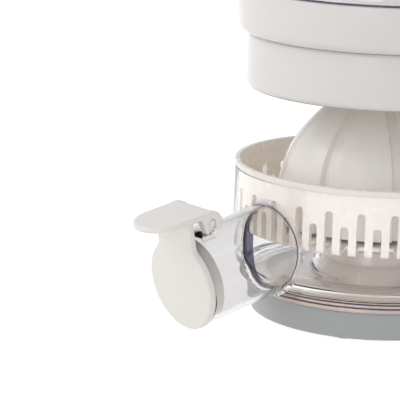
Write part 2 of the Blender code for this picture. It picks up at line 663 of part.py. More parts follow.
def slot_cutters():
    """One rounded upright prism for each slot, long and short by turns, all in one mesh."""
    bm = bmesh.new()
    half = SLOT_WIDTH / 2
    for i in range(SLOT_COUNT):
        top = LONG_SLOT_TOP if i % 2 == 0 else SHORT_SLOT_TOP
        outline = [(half, STRAINER_BOTTOM - 3), *arc((0, top - half), half, 0, 180, 2),
                   (-half, STRAINER_BOTTOM - 3)]
        angle = radians(-90 + SLOT_PHASE + 360 * i / SLOT_COUNT)
        place = Matrix.Rotation(angle, 4, "Z")
        face = bm.faces.new([bm.verts.new(place @ Vector((51 * MM, x * MM, z * MM))) for x, z in outline])
        step = bmesh.ops.extrude_face_region(bm, geom=[face])
        moved = [item for item in step["geom"] if isinstance(item, bmesh.types.BMVert)]
        bmesh.ops.translate(bm, vec=place @ Vector((20 * MM, 0, 0)), verts=moved)
    return object_of("slots", mesh_of("slots", bm))


def strainer():
    rim_inner = STRAINER_RIM - STRAINER_WALL
    basket = baked(turned("strainer", [
        (STRAINER_RIM, STRAINER_TOP), (STRAINER_RIM, 69.5), (63.3, 69.5), (63.2, 44.0),
        (60.5, STRAINER_BOTTOM), (9.2, STRAINER_BOTTOM), (9.2, 42.1), (60.5, 42.1), (62.1, 45.0),
        (62.2, 66.0), (rim_inner, STRAINER_TOP),
    ], SLOT_COUNT))
    cut(basket, slot_cutters())
    return keep(basket, "white_plastic")


# ---------------------------------------------------------------- spout flap

# Outlines of the flap's side view are drawn as (along, up) in the spout's frame.
FLAP_SIDE = SPOUT @ Matrix(((0, 0, 1, 0), (0, 1, 0, 0), (1, 0, 0, 0), (0, 0, 0, 1))) @ Matrix.Diagonal(
    (1, 1, -1, 1)
)


def pin_ends(half):
    axis = SPOUT @ Vector((0, PIN_UP * MM, PIN_ALONG * MM)) / MM
    return (axis.x - half, axis.y, axis.z), (axis.x + half, axis.y, axis.z)


def hinge_pin():
    keep(rod("hinge_pin", PIN_RADIUS, *pin_ends(PIN_HALF - 0.3), 20), "cream_plastic")


def spout_flap():
    back = FLAP_FRONT - FLAP_THICK
    disc = turned("spout_flap", [
        (0, FLAP_FRONT), (FLAP_RADIUS - 0.7, FLAP_FRONT), (FLAP_RADIUS, FLAP_FRONT - 0.8),
        (FLAP_RADIUS, back), (0, back),
    ], 32, SPOUT)
    disc = in_world(baked(disc))
    neck_top = PIN_UP + CURL_RADIUS - TAB_THICK + 1.6
    corner = sqrt(FLAP_RADIUS**2 - NECK_HALF**2)
    neck = flat("neck", [[
        (NECK_HALF, neck_top - 0.6), (NECK_HALF, corner + 1.5), (NECK_HALF + 1.6, corner - 1.6),
        (NECK_HALF + 1.2, corner - 4), (-NECK_HALF - 1.2, corner - 4), (-NECK_HALF - 1.6, corner - 1.6),
        (-NECK_HALF, corner + 1.5), (-NECK_HALF, neck_top - 0.6),
    ]], back + 0.15, FLAP_FRONT - 0.15, SPOUT)
    join(disc, neck, tab(), *curl(), solver="MANIFOLD")
    return keep(disc, "cream_plastic")


def in_world(thing):
    """Moves an object's place into its mesh, so that its origin is the world's."""
    thing.data.transform(thing.matrix_world)
    thing.matrix_world = Matrix.Identity(4)
    return thing


def tab():
    """The thumb tab: straight sides and a round end, tilted a little from the spout."""
    reach = TAB_LENGTH - TAB_HALF
    outline = [
        (TAB_HALF, 0), (-TAB_HALF, 0), *arc((0, reach), TAB_HALF, 180, 0, 12),
    ]
    top = PIN_UP + CURL_RADIUS
    turn = Matrix.Rotation(pi / 2 - TAB_TILT, 4, "X")
    place = SPOUT @ Matrix.Translation((0, top * MM, PIN_ALONG * MM)) @ turn
    plate = flat("tab", [outline], 0, TAB_THICK, place)
    round_edges(plate, 0.7, 1)
    return plate


def curl():
    """The tab's back end: two cheeks that clip over the pin, and a short roll between them."""
    centre = (PIN_ALONG, PIN_UP)
    mouth = PIN_RADIUS + GAP
    cheek = [
        (PIN_ALONG + 2.0, PIN_UP + CURL_RADIUS),
        *arc(centre, CURL_RADIUS, 90, 205, 6),
        (PIN_ALONG - mouth - 1.0, PIN_UP - 3.9), (PIN_ALONG - mouth, PIN_UP - 3.2),
        *arc(centre, mouth, 180, 0, 8),
        (PIN_ALONG + mouth, PIN_UP - 3.4), (PIN_ALONG + mouth + 0.9, PIN_UP - 4.2),
        (PIN_ALONG + mouth + 2.0, PIN_UP - 3.6), (PIN_ALONG + mouth + 2.5, PIN_UP),
        (PIN_ALONG + mouth + 3.3, PIN_UP + CURL_RADIUS - 1.5),
    ]
    roll = arc(centre, CURL_RADIUS - 0.3, 65, 140, 4) + arc(centre, EAR_RADIUS + 0.8, 140, 65, 4)
    inner = EAR_HALF + GAP
    return [
        flat("cheek_left", [cheek], -TAB_HALF, -inner, FLAP_SIDE),
        flat("cheek_right", [cheek], inner, TAB_HALF, FLAP_SIDE),
        flat("roll", [roll], -inner - 0.7, inner + 0.7, FLAP_SIDE),
    ]


def flap_seal():
    back = FLAP_FRONT - FLAP_THICK
    keep(turned("flap_seal", [
        (14.6, back - GAP), (17.4, back - GAP), (16.0, back - 3.2), (14.8, back - 3.2),
    ], 28, SPOUT), "silicone")


# ---------------------------------------------------------------- press head

def screw_holes(name, low, high):
    """Clearance holes for the screws that hold the press cup."""
    made = []
    for angle in CUP_SCREW_ANGLES:
        x, y = CUP_SCREW_RADIUS * cos(radians(angle)), CUP_SCREW_RADIUS * sin(radians(angle))
        made.append(rod(f"{name}_{angle}", 1.6, (x, y, low), (x, y, high), 8))
    return made


def lower_collar():
    wall = 2.4
    ring = turned("lower_collar", [
        (LOWER_RADIUS - 1.4, LOWER_HIGH), (LOWER_RADIUS, LOWER_HIGH - 1.6), (LOWER_RADIUS, LOWER_LOW + 2.4),
        (LOWER_RADIUS - 1.6, LOWER_LOW), (LOWER_RADIUS - wall, LOWER_LOW), (LOWER_RADIUS - wall, 124.6),
        (55.4, 127.4), (55.4, LOWER_HIGH),
    ])
    cut(ring, *screw_holes("lower_hole", 128.2, 140))
    return keep(ring, "white_plastic")


def upper_collar():
    inner = 62.8
    ring = turned("upper_collar", [
        (UPPER_RADIUS, UPPER_HIGH), (66.4, UPPER_LOW + 4.6), (65.2, UPPER_LOW + 1.6),
        (62.4, UPPER_LOW), (55.4, UPPER_LOW), (55.4, CUP_FLANGE - GAP), (inner, CUP_FLANGE - GAP),
        (inner + 0.6, UPPER_HIGH),
    ])
    holes = [rod(f"arm_hole_{z:.0f}", 1.8, (0, 55, z), (0, 75, z), 8) for z in ARM_SCREW_HEIGHTS]
    cut(ring, *screw_holes("upper_hole", 128, 140), *holes, solver="MANIFOLD")
    return keep(ring, "white_plastic")


def dome_radius(height, radius, top):
    """A rounded dome's outline: upright at its rim and nearly flat on top."""
    rise = (height - DOME_LOW) / (top - DOME_LOW)
    return radius * max(0.0, 1 - rise**2.6) ** (1 / 2.6)


def clear_dome():
    def wall(radius, top):
        heights = [DOME_LOW + (top - DOME_LOW) * sin(radians(15 * i)) for i in range(7)]
        return [(dome_radius(z, radius, top), z) for z in heights][:-1]

    outer = wall(UPPER_RADIUS - 0.2, DOME_TOP)[::-1]
    inner = wall(UPPER_RADIUS - 0.2 - DOME_WALL, DOME_TOP - DOME_WALL)
    keep(turned("clear_dome", [(0, DOME_TOP), *outer, *inner, (0, DOME_TOP - DOME_WALL)]),
         "clear_plastic")


def press_cup():
    """The ribless outer form follows the reamer, one travel higher and with room for peel."""
    room, wall = 3.4, 2.0
    inside = [(r + room, z + HEAD_TRAVEL + room * 0.8) for r, z in REAMER_PROFILE[::2] if z > 71.5]
    outside = [(r + wall, z + wall * 0.8) for r, z in inside]
    top = REAMER_TOP + HEAD_TRAVEL + room
    profile = [(0, top + wall), *outside, (outside[-1][0] + 0.4, CUP_FLANGE + wall),
               (62.2, CUP_FLANGE + wall), (62.2, CUP_FLANGE), (inside[-1][0] + 0.8, CUP_FLANGE)]
    profile += [*reversed(inside), (0, top)]
    cup = turned("press_cup", profile, 24)
    cut(cup, *screw_holes("cup_hole", 128, 150))
    return keep(cup, "white_plastic")


def head_carriage():
    bar = block("head_carriage", (-18.5, 78, CARRIAGE_LOW), (18.5, 101, CARRIAGE_HIGH))
    join(bar, block("arm", (-9, UPPER_RADIUS + 0.5, 133.5), (9, 79, 150.4)))
    holes = [rod(f"bush_hole_{side}", 5.2, (side * ROD_X, ROD_Y, 120), (side * ROD_X, ROD_Y, 160), 16)
             for side in (-1, 1)]
    pilots = [rod(f"arm_pilot_{z:.0f}", 1.7, (0, 60, z), (0, 76.5, z), 8) for z in ARM_SCREW_HEIGHTS]
    cut(bar, *holes, *pilots)
    keep(bar, "grey_plastic")
    for side, name in ((-1, "left"), (1, "right")):
        ring = [
            (4.9, CARRIAGE_HIGH), (4.9, CARRIAGE_LOW), (ROD_RADIUS + GAP, CARRIAGE_LOW),
            (ROD_RADIUS + GAP, CARRIAGE_HIGH),
        ]
        keep(turned(f"carriage_bush_{name}", ring, 16, at(side * ROD_X, ROD_Y, 0)), "nylon")


def head_fasteners():
    for i, angle in enumerate(CUP_SCREW_ANGLES, 1):
        x, y = CUP_SCREW_RADIUS * cos(radians(angle)), CUP_SCREW_RADIUS * sin(radians(angle))
        screw_piece(f"cup_screw_{i}", 2.8, 1.3, 1.5, 8.8, at(x, y, CUP_FLANGE + 2.0 + GAP + 1.5, UPSIDE_DOWN))
    turn = Matrix.Rotation(-pi / 2, 4, "X")
    for i, height in enumerate(ARM_SCREW_HEIGHTS, 1):
        screw_piece(f"arm_screw_{i}", 2.8, 1.4, 1.6, 14.4, at(0, 60.6, height, turn))


base_shell()
base_deck()
bottom_plate()
feet()
base_fasteners()
drive_bearing()
column_front()
column_rear()
column_cap()
column_inside()
motor_unit()
electronics()
power_button()
gear_train()
drive_shaft()
reamer()
bowl()
strainer()
hinge_pin()
spout_flap()
flap_seal()
lower_collar()
upper_collar()
clear_dome()
press_cup()
head_carriage()
head_fasteners()
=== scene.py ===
"""Studio scene of the countertop press juicer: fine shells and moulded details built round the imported
frame, procedural plastics, and a soft light tent. Sizes in millimetres are turned to metres by MM."""

import json
from math import cos, hypot, pi, radians, sin, sqrt, tan

import bmesh
import bpy
from mathutils import Matrix, Vector


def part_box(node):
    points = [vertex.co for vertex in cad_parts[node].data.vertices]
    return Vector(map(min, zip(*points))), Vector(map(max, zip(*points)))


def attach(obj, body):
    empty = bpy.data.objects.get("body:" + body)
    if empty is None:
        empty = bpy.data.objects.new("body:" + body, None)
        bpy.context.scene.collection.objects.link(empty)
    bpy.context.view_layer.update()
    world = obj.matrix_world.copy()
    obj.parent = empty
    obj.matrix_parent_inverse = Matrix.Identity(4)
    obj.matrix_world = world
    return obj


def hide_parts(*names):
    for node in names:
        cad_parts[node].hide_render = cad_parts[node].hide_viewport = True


MM = 0.001
ROUND = 192  # facets of a full-size ring
ARC = 6  # steps of a rounded corner

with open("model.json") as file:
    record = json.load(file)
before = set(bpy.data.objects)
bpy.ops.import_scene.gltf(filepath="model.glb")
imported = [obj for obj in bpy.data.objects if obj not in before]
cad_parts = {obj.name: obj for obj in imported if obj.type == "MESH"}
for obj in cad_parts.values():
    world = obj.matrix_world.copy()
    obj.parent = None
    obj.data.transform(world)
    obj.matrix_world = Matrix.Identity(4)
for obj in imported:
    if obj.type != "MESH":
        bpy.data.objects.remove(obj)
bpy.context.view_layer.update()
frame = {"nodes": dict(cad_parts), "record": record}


def top_of(node):
    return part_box(node)[1].z / MM


def foot_of(node):
    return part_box(node)[0].z / MM


def radius_of(node):
    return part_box(node)[1].x / MM


# ---------------------------------------------------------------- materials

def new_material(name, colour, roughness, metallic=0.0, specular=0.5):
    made = bpy.data.materials.new(name)
    made.use_nodes = True
    shader = made.node_tree.nodes["Principled BSDF"]
    shader.inputs["Base Color"].default_value = (*colour, 1.0)
    shader.inputs["Roughness"].default_value = roughness
    shader.inputs["Metallic"].default_value = metallic
    shader.inputs["Specular IOR Level"].default_value = specular
    return made, made.node_tree, shader


def noise(tree, scale, detail=3.0, roughness=0.5):
    """A noise texture in the object's own coordinates; scale is in features per metre."""
    place = tree.nodes.new("ShaderNodeTexCoord")
    made = tree.nodes.new("ShaderNodeTexNoise")
    made.inputs["Scale"].default_value = scale
    made.inputs["Detail"].default_value = detail
    made.inputs["Roughness"].default_value = roughness
    tree.links.new(place.outputs["Object"], made.inputs["Vector"])
    return made


def spread(tree, source, low, high):
    """The noise's middle range stretched between two values."""
    made = tree.nodes.new("ShaderNodeMapRange")
    made.inputs["From Min"].default_value = 0.3
    made.inputs["From Max"].default_value = 0.7
    made.inputs["To Min"].default_value = low
    made.inputs["To Max"].default_value = high
    tree.links.new(source.outputs["Fac"], made.inputs["Value"])
    return made.outputs["Result"]


def tint(tree, source, first, second):
    made = tree.nodes.new("ShaderNodeMix")
    made.data_type = "RGBA"
    made.inputs["A"].default_value = (*first, 1.0)
    made.inputs["B"].default_value = (*second, 1.0)
    tree.links.new(spread(tree, source, 0.0, 1.0), made.inputs["Factor"])
    return made.outputs["Result"]


def bump(tree, shader, source, strength, distance):
    made = tree.nodes.new("ShaderNodeBump")
    made.inputs["Strength"].default_value = strength
    made.inputs["Distance"].default_value = distance
    tree.links.new(source.outputs["Fac"], made.inputs["Height"])
    tree.links.new(made.outputs["Normal"], shader.inputs["Normal"])


def moulded(name, colour, shade, roughness, grain=900.0, depth=0.3, glow=0.0):
    """Injection-moulded plastic: a faint cloudiness in its colour, uneven gloss, and a fine skin. With
    glow, some light spreads below its surface."""
    made, tree, shader = new_material(name, colour, sum(roughness) / 2)
    if glow:
        shader.inputs["Subsurface Weight"].default_value = glow
        shader.inputs["Subsurface Radius"].default_value = (1.0, 0.6, 0.4)
        shader.inputs["Subsurface Scale"].default_value = 0.004
    clouds = noise(tree, 28.0, 2.0)
    tree.links.new(tint(tree, clouds, colour, shade), shader.inputs["Base Color"])
    wear = noise(tree, 160.0, 4.0, 0.6)
    tree.links.new(spread(tree, wear, *roughness), shader.inputs["Roughness"])
    bump(tree, shader, noise(tree, grain, 2.0), depth, 0.00002)
    return made


def clear_plastic(name, colour, roughness=0.03, ior=1.2):
    """Clear plastic that lets the lamps through to what it holds. Its coat carries the gloss. The low
    index keeps dark lines out of thin walls."""
    made, tree, shader = new_material(name, colour, roughness)
    shader.inputs["Transmission Weight"].default_value = 1.0
    shader.inputs["IOR"].default_value = ior
    shader.inputs["Coat Weight"].default_value = 0.6
    shader.inputs["Coat IOR"].default_value = 1.5
    output = tree.nodes["Material Output"]
    lets_through = tree.nodes.new("ShaderNodeBsdfTransparent")
    lets_through.inputs["Color"].default_value = (*colour, 1.0)
    choice = tree.nodes.new("ShaderNodeMixShader")
    rays = tree.nodes.new("ShaderNodeLightPath")
    tree.links.new(rays.outputs["Is Shadow Ray"], choice.inputs["Fac"])
    tree.links.new(shader.outputs["BSDF"], choice.inputs[1])
    tree.links.new(lets_through.outputs["BSDF"], choice.inputs[2])
    tree.links.new(choice.outputs["Shader"], output.inputs["Surface"])
    return made


def machined(name, colour, roughness, scale):
    """Drawn or turned steel with fine marks along its length."""
    made, tree, shader = new_material(name, colour, roughness, metallic=1.0)
    marks = noise(tree, scale, 5.0, 0.65)
    tree.links.new(spread(tree, marks, roughness - 0.08, roughness + 0.12), shader.inputs["Roughness"])
    bump(tree, shader, marks, 0.25, 0.00003)
    return made


WHITE = moulded("white_plastic", (0.80, 0.765, 0.725), (0.78, 0.745, 0.705), (0.17, 0.25))
# The reamer's white plastic, made brighter and warmer than the collars' white: painted warm bounce light on
# its shaded petals and grooves.
WHITE_PAINTED_WARM_LIGHT = moulded("white_plastic_painted_warm_light", (0.96, 0.91, 0.85), (0.955, 0.90, 0.835), (0.20, 0.26), depth=0.1)
# The strainer's white plastic, made brighter and warmer than the collars' white: painted warm bounce light
# in the shaded basket. Its light spreading below the surface is real.
SIEVE_PAINTED_WARM_LIGHT = moulded(
    "sieve_white_painted_warm_light", (0.93, 0.865, 0.80), (0.925, 0.855, 0.785), (0.22, 0.30), depth=0.1, glow=0.15,
)
# The deck's cream plastic, made more orange: painted warm shade where it lies under the strainer.
DECK_PAINTED_WARM_SHADE = moulded("deck_cream_painted_warm_shade", (0.95, 0.83, 0.725), (0.94, 0.815, 0.71), (0.20, 0.26))
CREAM = moulded("cream_plastic", (0.90, 0.855, 0.80), (0.885, 0.84, 0.78), (0.30, 0.42))
CLEAR = clear_plastic("clear_plastic", (0.98, 0.975, 0.98))
# Clear plastic tinted grey, given to the spout tube so that it reads grey against the white floor: painted
# shade.
CLEAR_PAINTED_GREY = clear_plastic("clear_plastic_painted_grey", (0.82, 0.81, 0.805))
FAINT, _, faint_shader = new_material("faint_clear_plastic", (0.90, 0.88, 0.87), 0.1)
faint_shader.inputs["Alpha"].default_value = 0.3
# Dark tinted clear plastic for thin rings that paint the dark line of a clear wall seen edge on: painted
# shade.
EDGE_SHADE = clear_plastic("clear_plastic_painted_edge_shade", (0.15, 0.12, 0.21), 0.15)
GREY = moulded("grey_plastic", (0.46, 0.465, 0.46), (0.43, 0.435, 0.43), (0.36, 0.48), 1500.0, 0.6)
NYLON = moulded("nylon", (0.80, 0.78, 0.70), (0.76, 0.74, 0.66), (0.42, 0.55))
SILICONE = moulded("silicone", (0.90, 0.85, 0.80), (0.88, 0.83, 0.775), (0.50, 0.62))
RUBBER = moulded("rubber", (0.035, 0.035, 0.04), (0.05, 0.05, 0.055), (0.62, 0.80), 1800.0, 0.8)
STEEL = machined("steel", (0.62, 0.62, 0.64), 0.28, 700.0)
CIRCUIT = moulded("circuit", (0.02, 0.16, 0.07), (0.03, 0.20, 0.09), (0.30, 0.45))
BY_SLOT = {
    "white_plastic": WHITE, "cream_plastic": CREAM, "clear_plastic": CLEAR, "grey_plastic": GREY,
    "nylon": NYLON, "silicone": SILICONE, "rubber": RUBBER, "steel": STEEL, "circuit": CIRCUIT,
}


def dress_frame():
    """Gives every CAD node that stays the procedural material of its slot."""
    for part in frame["record"]["subparts"]:
        mesh = frame["nodes"][part["node"]].data
        mesh.materials.clear()
        mesh.materials.append(BY_SLOT[part["material_slot"]])


# ---------------------------------------------------------------- mesh tools

def rounded(points, steps=ARC):
    """A closed outline. A point's third value is the radius that its corner is rounded to."""
    outline = []
    for i, point in enumerate(points):
        corner = Vector(point[:2])
        if len(point) == 2:
            outline.append(corner)
            continue
        before = (Vector(points[i - 1][:2]) - corner).normalized()
        after = (Vector(points[(i + 1) % len(points)][:2]) - corner).normalized()
        half = before.angle(after) / 2
        centre = corner + (before + after).normalized() * point[2] / sin(half)
        start = corner + before * point[2] / tan(half) - centre
        sweep = (pi - 2 * half) * (1 if before.x * after.y - before.y * after.x < 0 else -1)
        for step in range(steps + 1):
            turn = sweep * step / steps
            outline.append(centre + Vector((
                start.x * cos(turn) - start.y * sin(turn), start.x * sin(turn) + start.y * cos(turn),
            )))
    return [(p.x, p.y) for p in outline]


def arc(centre, radius, start, end, steps=12):
    turns = [radians(start + (end - start) * i / steps) for i in range(steps + 1)]
    return [(centre[0] + radius * cos(a), centre[1] + radius * sin(a)) for a in turns]


def finished(name, bm, place=None):
    """An object from a bmesh, with its faces turned out and its place in its mesh."""
    bmesh.ops.recalc_face_normals(bm, faces=bm.faces)
    mesh = bpy.data.meshes.new(name)
    bm.to_mesh(mesh)
    bm.free()
    if place is not None:
        mesh.transform(place)
    thing = bpy.data.objects.new(name, mesh)
    bpy.context.scene.collection.objects.link(thing)
    return thing


def lathe(name, profile, steps=ROUND, place=None, radial=None):
    """A closed profile of (radius, height) turned about Z. radial(radius, height, angle) may change
    each point's radius."""
    bm = bmesh.new()
    rings = []
    for radius, height in profile:
        if radius < 1e-6:
            rings.append([bm.verts.new((0, 0, height * MM))])
            continue
        ring = []
        for i in range(steps):
            angle = 2 * pi * i / steps
            out = radial(radius, height, angle) if radial else radius
            ring.append(bm.verts.new((out * cos(angle) * MM, out * sin(angle) * MM, height * MM)))
        rings.append(ring)
    for first, second in zip(rings, rings[1:] + rings[:1]):
        if len(first) == len(second) == 1:
            continue
        for i in range(steps):
            j = (i + 1) % steps
            corners = [
                first[i % len(first)], first[j % len(first)],
                second[j % len(second)], second[i % len(second)],
            ]
            bm.faces.new(list(dict.fromkeys(corners)))
    return finished(name, bm, place)


def plate(name, outline, low, high, place=None, soft=0.0, segments=3):
    """A flat outline given thickness, with its edges rounded by soft."""
    bm = bmesh.new()
    face = bm.faces.new([bm.verts.new((x * MM, y * MM, low * MM)) for x, y in outline])
    grown = bmesh.ops.extrude_face_region(bm, geom=[face])
    moved = [v for v in grown["geom"] if isinstance(v, bmesh.types.BMVert)]
    bmesh.ops.translate(bm, vec=(0, 0, (high - low) * MM), verts=moved)
    bmesh.ops.recalc_face_normals(bm, faces=bm.faces)
    if soft:
        edges = [e for e in bm.edges if e.calc_face_angle(0) > radians(40)]
        bmesh.ops.bevel(bm, geom=edges, offset=soft * MM, segments=segments, affect="EDGES", profile=0.5)
    return finished(name, bm, place)


def combined(target, operation, *others):
    """The Boolean of a mesh with others, applied; the others are removed."""
    for other in others:
        step = target.modifiers.new(operation, "BOOLEAN")
        step.operation, step.solver, step.object = operation, "EXACT", other
    applied(target)
    for other in others:
        bpy.data.objects.remove(other)
    return target


def applied(thing):
    """Applies an object's modifiers to its mesh."""
    bpy.context.view_layer.update()
    graph = bpy.context.evaluated_depsgraph_get()
    mesh = bpy.data.meshes.new_from_object(thing.evaluated_get(graph))
    thing.modifiers.clear()
    thing.data = mesh
    return thing


def merged(name, things):
    """Several closed meshes as one object, still overlapping."""
    bm = bmesh.new()
    for thing in things:
        bm.from_mesh(thing.data)
        bpy.data.objects.remove(thing)
    return finished(name, bm)


def melted(thing, voxel, relax):
    """Overlapping solids run together into one skin, with soft fillets where they meet."""
    remesh = thing.modifiers.new("skin", "REMESH")
    remesh.mode, remesh.voxel_size, remesh.use_smooth_shade = "VOXEL", voxel * MM, True
    smooth = thing.modifiers.new("relax", "SMOOTH")
    smooth.factor, smooth.iterations = 0.5, relax
    return applied(thing)


def show(thing, look, body, nodes, crease=30, finish=None):
    """Puts a finished piece on its body, in place of the CAD nodes that it stands for."""
    thing.data.materials.clear()
    thing.data.materials.append(finish or BY_SLOT[look])
    thing.data.shade_smooth()
    thing.data.set_sharp_from_angle(angle=radians(crease))
    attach(thing, body)
    if nodes:
        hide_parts(*nodes)
    return thing


# The spout's frame: local Z along the spout, local Y up across it, local X is world +X.
SPOUT_HEIGHT, SPOUT_DROOP = 51.9, radians(11.8)
ALONG = Vector((0, -cos(SPOUT_DROOP), -sin(SPOUT_DROOP)))
ACROSS = Vector((0, -sin(SPOUT_DROOP), cos(SPOUT_DROOP)))
SPOUT = Matrix.Translation((0, 0, SPOUT_HEIGHT * MM)) @ Matrix(
    (ACROSS.cross(ALONG), ACROSS, ALONG)
).transposed().to_4x4()
# Side outlines are drawn as (along, up) and given thickness along X.
SIDE = (
    SPOUT @ Matrix(((0, 0, 1, 0), (0, 1, 0, 0), (1, 0, 0, 0), (0, 0, 0, 1))) @ Matrix.Diagonal((1, 1, -1, 1))
)
SPOUT_OUTER, SPOUT_INNER, SPOUT_END = 20.3, 18.3, 112.6
SPOUT_START, SPOUT_STEPS = 50, 93
PIN_ALONG, PIN_UP, PIN_RADIUS = 103.9, 27.2, 1.6
EAR_HALF = 8.5
CHEEK_IN, CHEEK_OUT = 8.8, 13.0


# ---------------------------------------------------------------- camera, light, floor

def camera():
    """Looks down 13 degrees on the spout's side, with a slight roll."""
    stand, look, roll = (0.7266, -0.6908, 0.2789), Vector((-0.7586, 0.6121, -0.2235)).normalized(), 0.0332
    data = bpy.data.cameras.new("camera")
    data.lens, data.sensor_width = 198.8, 36.0
    thing = bpy.data.objects.new("camera", data)
    bpy.context.scene.collection.objects.link(thing)
    turn = look.to_track_quat("-Z", "Y").to_matrix().to_4x4() @ Matrix.Rotation(roll, 4, "Z")
    thing.matrix_world = Matrix.Translation(stand) @ turn
    bpy.context.scene.camera = thing


def softbox(name, azimuth, elevation, distance, width, height, power, colour=(1, 1, 1)):
    """A rectangular lamp aimed at the juicer's middle. Azimuth is measured from +X towards +Y."""
    data = bpy.data.lights.new(name, "AREA")
    data.shape, data.size, data.size_y = "RECTANGLE", width, height
    data.energy, data.color = power, colour
    middle = Vector((0, 0, 0.09))
    a, e = radians(azimuth), radians(elevation)
    back = Vector((cos(a) * cos(e), sin(a) * cos(e), sin(e)))
    thing = bpy.data.objects.new(name, data)
    bpy.context.scene.collection.objects.link(thing)
    thing.matrix_world = Matrix.Translation(back * distance + middle) @ (
        (-back).to_track_quat("-Z", "Y").to_matrix().to_4x4()
    )


def studio():
    """A bright tent, a little darker overhead and towards +X, with a warm key lamp, a tall strip for
    highlights, and a low fill that reaches under the strainer."""
    world = bpy.data.worlds.new("tent")
    bpy.context.scene.world = world
    world.use_nodes = True
    tree = world.node_tree
    background = tree.nodes["Background"]
    place = tree.nodes.new("ShaderNodeTexCoord")
    apart = tree.nodes.new("ShaderNodeSeparateXYZ")
    tree.links.new(place.outputs["Generated"], apart.inputs["Vector"])
    ramp = tree.nodes.new("ShaderNodeValToRGB")
    low, high = ramp.color_ramp.elements
    low.position, low.color = 0.10, (0.90, 0.93, 0.97, 1)
    high.position, high.color = 0.75, (0.80, 0.83, 0.87, 1)
    tree.links.new(apart.outputs["Z"], ramp.inputs["Fac"])
    tree.links.new(ramp.outputs["Color"], background.inputs["Color"])
    across = tree.nodes.new("ShaderNodeMapRange")
    across.inputs["From Min"].default_value, across.inputs["From Max"].default_value = -1.0, 1.0
    across.inputs["To Min"].default_value, across.inputs["To Max"].default_value = 0.92, 0.68
    tree.links.new(apart.outputs["X"], across.inputs["Value"])
    tree.links.new(across.outputs["Result"], background.inputs["Strength"])
    softbox("key", -122, 40, 1.3, 0.8, 0.8, 3.0, (1.0, 0.985, 0.97))
    softbox("strip", -68, 18, 1.4, 0.10, 0.9, 0.7)
    softbox("fill", -55, 5, 1.5, 0.45, 0.35, 0.9)
    bpy.context.scene.view_settings.view_transform = "Standard"


def floor():
    """A pale sweep that is lit evenly, so that it reads as plain white."""
    bm = bmesh.new()
    bmesh.ops.create_grid(bm, x_segments=1, y_segments=1, size=6.0)
    thing = finished("floor", bm)
    made, tree, shader = new_material("floor", (0.4, 0.4, 0.4), 0.8)
    shader.inputs["Emission Color"].default_value = (1.0, 1.0, 1.0, 1.0)
    glow = tree.nodes.new("ShaderNodeMapRange")
    rays = tree.nodes.new("ShaderNodeLightPath")
    glow.inputs["To Min"].default_value = 0.86
    glow.inputs["To Max"].default_value = 0.40
    tree.links.new(rays.outputs["Is Diffuse Ray"], glow.inputs["Value"])
    tree.links.new(glow.outputs["Result"], shader.inputs["Emission Strength"])
    thing.data.materials.append(made)


# ---------------------------------------------------------------- press head

COLLAR_BORE = 55.4


def lower_collar():
    low, high, radius, wall = foot_of("lower_collar"), top_of("lower_collar"), radius_of("lower_collar"), 2.4
    ceiling = 124.6
    ring = lathe("collar_lower", rounded([
        (COLLAR_BORE, high), (radius, high, 2.0), (radius, low, 2.8), (radius - wall, low, 0.8),
        (radius - wall, ceiling, 1.0), (COLLAR_BORE, ceiling + 2.8),
    ]))
    show(ring, "white_plastic", "press_head", ["lower_collar"])


def upper_collar():
    low, high, radius = foot_of("upper_collar"), top_of("upper_collar"), radius_of("upper_collar")
    shelf = 133.3
    ring = lathe("collar_upper", rounded([
        (radius - 0.3, high, 0.8), (66.2, low, 4.4), (COLLAR_BORE, low), (COLLAR_BORE, shelf), (62.8, shelf),
        (63.4, high),
    ]))
    show(ring, "white_plastic", "press_head", ["upper_collar"])


def clear_dome():
    low, high = foot_of("clear_dome"), top_of("clear_dome")
    radius, wall = radius_of("clear_dome"), 2.2

    def skin(reach, top, steps=24, power=2.6):
        heights = [low + (top - low) * sin(pi / 2 * i / steps) for i in range(steps)]
        return [(reach * (1 - ((z - low) / (top - low)) ** power) ** (1 / power), z) for z in heights]

    outer = [(0, high), *skin(radius, high)[::-1]]
    inner = [*skin(radius - wall, high - wall), (0, high - wall)]
    show(lathe("dome", outer + inner), "clear_plastic", "press_head", ["clear_dome"])
    # A thin dark ring at the dome's foot: painted shade for the dark line of its clear wall seen edge on.
    seam = lathe("dome_edge_shade", [
        (radius + 0.12, low + 0.5), (radius + 0.12, low + 0.05), (radius - wall, low + 0.05),
        (radius - wall, low - 0.15), (radius + 0.2, low - 0.15), (radius + 0.2, low + 0.5),
    ])
    show(seam, "clear_plastic", "press_head", [], finish=EDGE_SHADE)


# ---------------------------------------------------------------- reamer

REAMER = [
    (0, 112.5), (2.4, 112.2), (6.0, 110.6), (13.0, 105.6), (20.0, 100.2), (26.5, 94.9), (31.0, 90.3),
    (36.5, 83.6), (40.2, 77.6), (43.0, 71.0), (44.5, 65.5), (45.5, 60.5), (46.8, 52.0), (47.8, 44.0),
]
PETALS, GROOVE_WIDTH, GROOVE_DEPTH, GROOVE_AT = 8, 4.6, 2.6, radians(15)


def smooth_step(value):
    value = max(0.0, min(1.0, value))
    return value * value * (3 - 2 * value)


def petal(radius, height, angle):
    """Eight broad petals, parted by flat-bottomed grooves of even width, that fade out at the tip."""
    flank, swell, plain, blend = 0.7, 0.6, 3.0, 12.0
    turn = (angle - GROOVE_AT + pi / PETALS) % (2 * pi / PETALS) - pi / PETALS
    aside = abs(turn) * radius
    deep = 1 - smooth_step((aside - GROOVE_WIDTH / 2) / flank)
    crown = 0.5 * (1 - (1 - abs(turn) * PETALS / pi) ** 2) - 0.5
    fade = smooth_step((radius - plain) / blend)
    return radius - (GROOVE_DEPTH * deep - crown * swell) * fade


